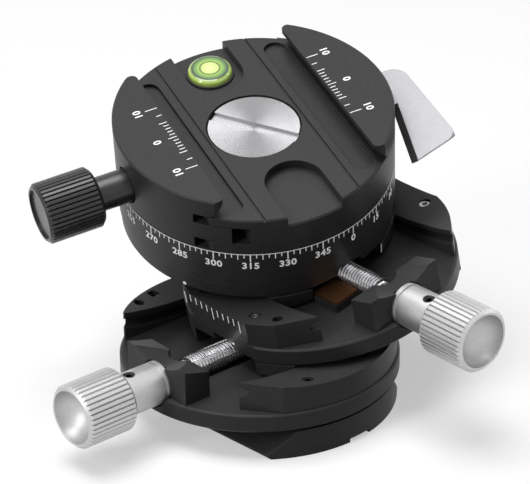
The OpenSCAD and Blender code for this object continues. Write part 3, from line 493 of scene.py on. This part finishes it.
def tilt_scale(name, stage, body, face_y):
    """A scale hanging from the top of a rail whose outer face is face_y along its length."""
    marks = Marks(lambda u, v: (u, face_y(u) + PROUD, v))
    for i in range(-TILT_SIDE_TICKS, TILT_SIDE_TICKS + 1):
        x = TILT_MIDDLE + i * TILT_STEP
        top = PIVOT_H - math.sqrt(RAIL_TOP_R ** 2 - x ** 2) - TILT_TOP_GAP
        drop = TILT_LONG if i % TILT_SIDE_TICKS == 0 else TILT_SHORT
        marks.bar(x - HALF_LINE, top - drop, x + HALF_LINE, top)
    make_piece(name, stage, marks, body)


tilt_scale("upper_tilt_marks", UPPER, "cross_stage", lambda x: SCALE_FLAT_Y)
tilt_scale("lower_tilt_marks", LOWER, "base", lambda x: math.sqrt(RAIL_R ** 2 - x ** 2))


# Marks: an index line for the pan scale on the saddle's end, and a white dot on the seat
INDEX_ANGLE = math.radians(-69.95)
INDEX_LOW, INDEX_HIGH = SEAT_Z - 2.4, SEAT_Z - 0.1
DOT_ANGLE = math.radians(-163.5)
DOT_Z = SEAT_Z + 0.8
DOT_R = 0.42

line_marks = Marks(on_drum(DRUM_R))
u = BODY_R * INDEX_ANGLE
line_marks.bar(u - HALF_LINE, INDEX_LOW, u + HALF_LINE, INDEX_HIGH)
make_piece("pan_index_mark", HEAD, line_marks, "pan_seat")
dot_marks = Marks(on_drum(SEAT_R + PROUD))
dot_marks.dot(SEAT_R * DOT_ANGLE, DOT_Z, DOT_R)
make_piece("seat_white_dot", HEAD, dot_marks, "pan_seat")


# Stage: floor, world, lamps and camera, in metres and watts

def seen_directly(nodes, links):
    """1 for what the camera, a reflection or glass shows, 0 for light that is only spread."""
    paths = nodes.new("ShaderNodeLightPath")
    seen = paths.outputs["Is Camera Ray"]
    for kind in ("Is Glossy Ray", "Is Transmission Ray"):
        either = nodes.new("ShaderNodeMath")
        either.operation = "MAXIMUM"
        links.new(seen, either.inputs[0])
        links.new(paths.outputs[kind], either.inputs[1])
        seen = either.outputs["Value"]
    return seen


FLOOR_HALF = 3.0
FLOOR_SEEN, FLOOR_BOUNCE, FLOOR_GLOW = 0.55, 0.08, 0.46
WHITE = (1, 1, 1, 1)
floor_mesh = bpy.data.meshes.new("floor")
floor_corners = [(x * FLOOR_HALF, y * FLOOR_HALF, 0) for x, y in ((-1, -1), (1, -1), (1, 1), (-1, 1))]
floor_mesh.from_pydata(floor_corners, [], [(0, 1, 2, 3)])
floor = bpy.data.objects.new("floor", floor_mesh)
scene.collection.objects.link(floor)
floor_material, floor_nodes, floor_links, floor_shader = new_material("floor_white")
floor_seen = seen_directly(floor_nodes, floor_links)
floor_tone = to_range(floor_nodes, floor_links, floor_seen, FLOOR_BOUNCE, FLOOR_SEEN)
floor_links.new(floor_tone, floor_shader.inputs["Base Color"])
floor_shader.inputs["Emission Color"].default_value = WHITE
floor_glow = to_range(floor_nodes, floor_links, floor_seen, 0.0, FLOOR_GLOW)
floor_links.new(floor_glow, floor_shader.inputs["Emission Strength"])
floor_shader.inputs["Roughness"].default_value = 0.9
floor_shader.inputs["Specular IOR Level"].default_value = 0.0
floor_mesh.materials.append(floor_material)

WORLD_LIGHT, WORLD_SEEN = 0.10, 1.0
world = bpy.data.worlds.new("studio")
scene.world = world
world.use_nodes = True
world_nodes, world_links = world.node_tree.nodes, world.node_tree.links
background = world_nodes["Background"]
background.inputs["Color"].default_value = WHITE
world_seen = seen_directly(world_nodes, world_links)
strength = to_range(world_nodes, world_links, world_seen, WORLD_LIGHT, WORLD_SEEN)
world_links.new(strength, background.inputs["Strength"])

LAMP_TARGET = Vector((0.01, 0.005, 0.03))


def area_lamp(name, place, size, power):
    data = bpy.data.lights.new(name, "AREA")
    data.shape = "RECTANGLE"
    data.size, data.size_y = size
    data.energy = power
    lamp = bpy.data.objects.new(name, data)
    lamp.location = place
    lamp.rotation_euler = (LAMP_TARGET - Vector(place)).to_track_quat("-Z", "Y").to_euler()
    scene.collection.objects.link(lamp)


area_lamp("top", place=(-0.10, 0.08, 0.88), size=(0.6, 0.6), power=7.2)
area_lamp("left", place=(-0.68, 0.0, 0.35), size=(0.15, 0.6), power=1.8)
area_lamp("right", place=(0.6, -0.25, 0.3), size=(0.12, 0.5), power=0.5)

# Camera of the photograph: TARGET is seen at TARGET_PX of its pixels
PHOTO_W, PHOTO_H = 530, 484
FOCAL_PX = 2721.9
SENSOR = 36.0
AZ, EL, ROLL = math.radians(-40.1), math.radians(26.8), math.radians(-0.97)
DISTANCE = 0.5553
CLIP_START = 0.01
TARGET = Vector((0, 0, 0.029))
TARGET_PX = (258.3, 265.8)

direction = Vector((math.sin(AZ) * math.cos(EL), -math.cos(AZ) * math.cos(EL), math.sin(EL)))
camera_data = bpy.data.cameras.new("camera")
camera_data.sensor_width = SENSOR
camera_data.sensor_fit = "HORIZONTAL"
camera_data.lens = FOCAL_PX * SENSOR / PHOTO_W
camera_data.clip_start = CLIP_START
camera_data.shift_x = (PHOTO_W / 2 - TARGET_PX[0]) / PHOTO_W
camera_data.shift_y = (TARGET_PX[1] - PHOTO_H / 2) / PHOTO_W
camera = bpy.data.objects.new("camera", camera_data)
camera.location = TARGET + direction * DISTANCE
look = (-direction).to_track_quat("-Z", "Y").to_matrix().to_4x4()
camera.rotation_euler = (look @ Matrix.Rotation(ROLL, 4, "Z")).to_euler()
scene.collection.objects.link(camera)
scene.camera = camera
